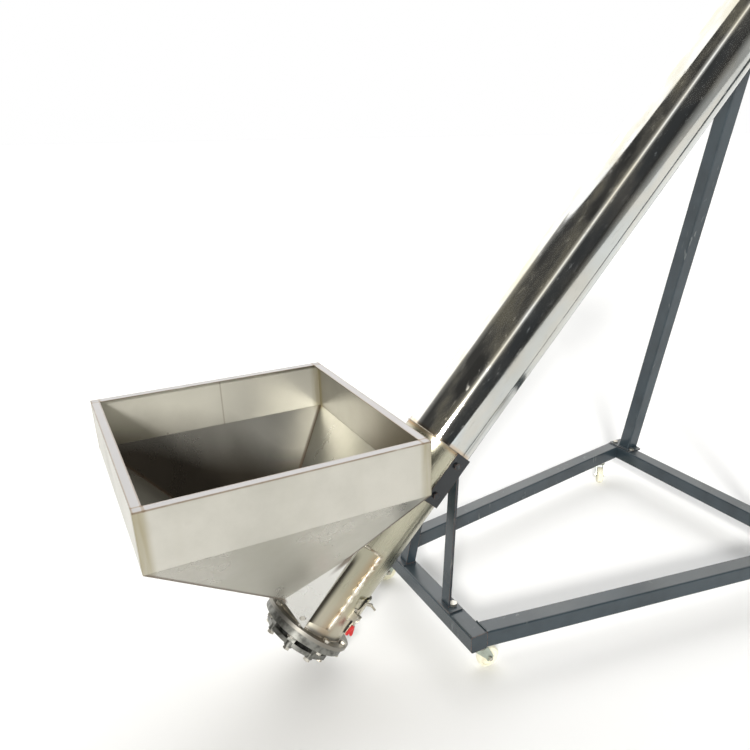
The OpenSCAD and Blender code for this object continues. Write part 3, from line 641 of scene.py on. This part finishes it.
# %% Beads on the frame
front_low, front_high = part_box("front_crossbar")
rear_low, rear_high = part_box("rear_crossbar")
bar = front_high.z - front_low.z
BEAD_INSET = 0.004                  # keeps a frame bead inside the frame's outline
beads = 0
for side, name in ((-1, "right"), (1, "left")):
    for x, inner, outer, where in (
            (front_high.x, front_high.y - bar, front_high.y, "front"),
            (rear_low.x, rear_high.y - bar, rear_high.y, "rear")):
        edge, inset = outer - BEAD_INSET, front_high.z - BEAD_INSET
        corner = [Vector((x, side * inner, front_high.z)), Vector((x, side * (edge - 0.004), front_high.z)),
                  Vector((x, side * edge, inset)), Vector((x, side * edge, front_low.z + BEAD_INSET))]
        bead(f"bead_{where}_{name}", corner, 0.006, FRAME_PAINT)
        beads += 1
POST_Y, POST_IN = 0.391, 0.036      # a post's foot: from the middle, and in from the crossbar's near face
LEAN_WIDENS = 1.02                  # a leaning tube's cut end is slightly longer than the tube is wide
for side, node in ((1, "rear_post_left"), (-1, "rear_post_right")):
    low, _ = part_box(node)
    middle = Vector((rear_low.x + POST_IN, side * POST_Y, low.z))
    square = [middle + Vector((a * bar / 2, b * bar / 2 * LEAN_WIDENS, 0))
              for a, b in ((-1, -1), (1, -1), (1, 1), (-1, 1), (-1, -1))]
    bead(f"bead_{node}", square, 0.007, FRAME_PAINT, closed=True)
    beads += 1
print("frame beads:", beads)

# %% [markdown]
# ## Floor
# A pale floor bounces light up under the hopper. It is far wider than the machine, because the polished tube
# mirrors it out to its edge.

# %% Floor
SPAN = 120                          # half the floor's width, in metres
floor_mesh = bpy.data.meshes.new("floor")
corners = [(x * SPAN, y * SPAN, 0) for x, y in ((-1, -1), (1, -1), (1, 1), (-1, 1))]
floor_mesh.from_pydata(corners, [], [(0, 1, 2, 3)])
floor = bpy.data.objects.new("floor", floor_mesh)
bpy.context.scene.collection.objects.link(floor)
ground = Finish("floor_pale", roughness=0.75)
ground_mask = ground.noise(1.5, 3).rises(0.3, 0.7)
ground.give("Base Color", ground.mix(ground_mask, (0.93, 0.93, 0.925), (0.92, 0.92, 0.915)))
floor_mesh.materials.append(ground.material)
floor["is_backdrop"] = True
print("floor", SPAN * 2, "m wide")

# %% [markdown]
# ## Room and lamps
# A polished tube shows only what is around it. Lamps in front of it would leave small glints, so the room
# itself has long soft strips that hang parallel to the tube, and each shows as one band along it. The camera
# sees plain white instead of the strips. Two soft lamps then give the painted frame and the sheet their
# shading: one from the viewer's left, and one from above.

# %% Room
# Share of a turn round the tube's axis, and brightness: 0 is above the tube's upper side, 0.25 towards the
# viewer, 0.75 behind the machine.
STRIPS = (
    (0.00, 0.040), (0.100, 0.035), (0.120, 0.30), (0.133, 1.30), (0.143, 0.30),
    (0.158, 0.045), (0.27, 0.04), (0.30, 0.25), (0.34, 0.50), (0.60, 0.60),
    (0.66, 1.0), (0.72, 1.7), (0.865, 1.5), (0.885, 0.25), (0.93, 0.05))
world = bpy.data.worlds.new("room")
bpy.context.scene.world = world
world.use_nodes = True
room = Graph(world.node_tree)
way = room.node("ShaderNodeTexCoord", out="Generated")
viewward = room.dot(way, -ACROSS)
turn = viewward.maths("ARCTAN2", viewward, room.dot(way, UP)) * (1 / math.tau) + 1.0
share = turn.maths("FRACT", turn, 0)
glow = room.node("ShaderNodeValToRGB", {
    "stops": [(at, (grey, grey * 0.99, grey * 0.96)) for at, grey in STRIPS]}, {0: share})
seen = room.node("ShaderNodeLightPath", out="Is Camera Ray")
shown = room.mix(seen, glow, (1.0, 1.0, 1.0))
room.tree.links.new(shown.socket, room.tree.nodes["Background"].inputs["Color"])
print("room set with", len(STRIPS), "strips")


# %% Lamps
def aim(light, towards, centre=(0, 0, 0.9), distance=6.0):
    """Hangs a lamp in the given direction from the machine, facing it."""
    made = bpy.data.objects.new(light.name, light)
    bpy.context.scene.collection.objects.link(made)
    way = Vector(towards).normalized()
    made.location = Vector(centre) + way * distance
    made.rotation_euler = way.to_track_quat("Z", "Y").to_euler()


key = bpy.data.lights.new("key", "SUN")
key.angle, key.energy, key.color = math.radians(9), 2.9, (1.0, 0.985, 0.95)
aim(key, (-0.50, -0.73, 0.46))
overhead = bpy.data.lights.new("overhead", "SUN")
overhead.angle, overhead.energy, overhead.color = math.radians(70), 1.35, (0.97, 0.98, 1.0)
aim(overhead, (0.25, 0.35, 1.0))
print("two soft lamps")

# %% [markdown]
# ## Camera
# It stands at chest height on the hopper's side and looks along the machine. Its place is counted from the
# hopper's edge, so it stays right if the machine's length changes.

# %% Camera
camera_data = bpy.data.cameras.new("camera")
camera = bpy.data.objects.new("camera", camera_data)
bpy.context.scene.collection.objects.link(camera)
bpy.context.scene.camera = camera
camera_data.sensor_width = 36
camera_data.lens = 33.68
camera_data.shift_x, camera_data.shift_y = -0.0495, 0.0539
camera_data.clip_end = 400
look = Vector((0.44492, 0.81291, -0.37580))
tilt = Matrix.Rotation(math.radians(0.753), 4, look)
camera.rotation_mode = "QUATERNION"
camera.rotation_quaternion = (tilt @ look.to_track_quat("-Z", "Y").to_matrix().to_4x4()).to_quaternion()
camera.location = (HOP_X - 0.0820, -1.4810, 1.3489)
print("camera at", [round(v, 3) for v in camera.location])

# %% [markdown]
# ## Tone
# The default curve greys a white room, and this one is meant to stay white, so the plain one is used.

# %% Plain tone curve
bpy.context.scene.view_settings.view_transform = "Standard"
print("view:", bpy.context.scene.view_settings.view_transform)

# %% [markdown]
# ## Size
# The beads stay within the outline of the CAD parts. The box of everything shown is printed.

# %% The size of what is shown
low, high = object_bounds()
print("shown box", [round(v, 3) for v in high - low])
